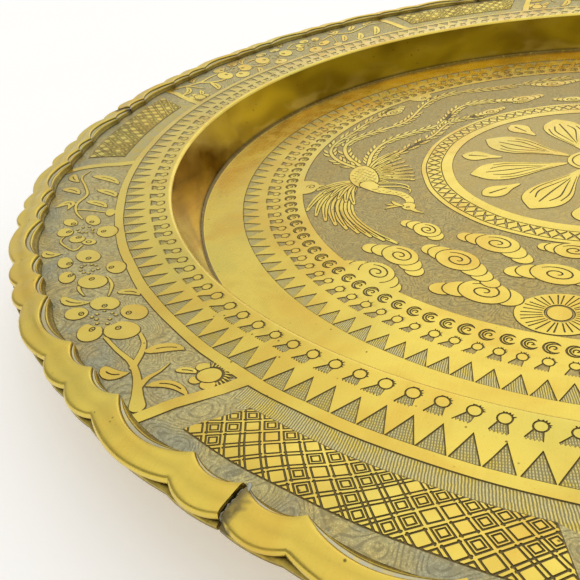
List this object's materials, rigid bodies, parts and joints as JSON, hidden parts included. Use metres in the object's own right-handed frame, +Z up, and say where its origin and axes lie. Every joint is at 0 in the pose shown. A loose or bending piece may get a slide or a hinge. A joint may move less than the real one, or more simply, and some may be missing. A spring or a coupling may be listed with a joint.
{
  "type": "round engraved brass tray",
  "caption": "Round brass tray with a sunk well, a chased flange and a soldered folded border with scalloped edges.",
  "frame": {"origin": "centre of the underside of the flat floor, on the tray's axis", "axes": "+Z up along the tray's axis; -Y faces the person who reads the central medallion upright"},
  "size_m": [0.5639, 0.564, 0.0349],
  "materials": {
    "sheet_brass": "polished yellow brass, chased, with grey-green patina in the punched grounds",
    "border_brass": "polished brass with brown wear in the creases and at the outer edge",
    "soft_solder": "dull grey soft solder"
  },
  "bodies": {
    "root": {"pan": "sheet_brass", "rim_segment_1": "border_brass", "rim_solder_1": "soft_solder", "lap_solder_1": "soft_solder", "rim_segment_2": "border_brass", "rim_solder_2": "soft_solder", "lap_solder_2": "soft_solder", "rim_segment_3": "border_brass", "rim_solder_3": "soft_solder", "lap_solder_3": "soft_solder", "rim_segment_4": "border_brass", "rim_solder_4": "soft_solder", "lap_solder_4": "soft_solder", "rim_segment_5": "border_brass", "rim_solder_5": "soft_solder", "lap_solder_5": "soft_solder"}
  },
  "joints": []
}
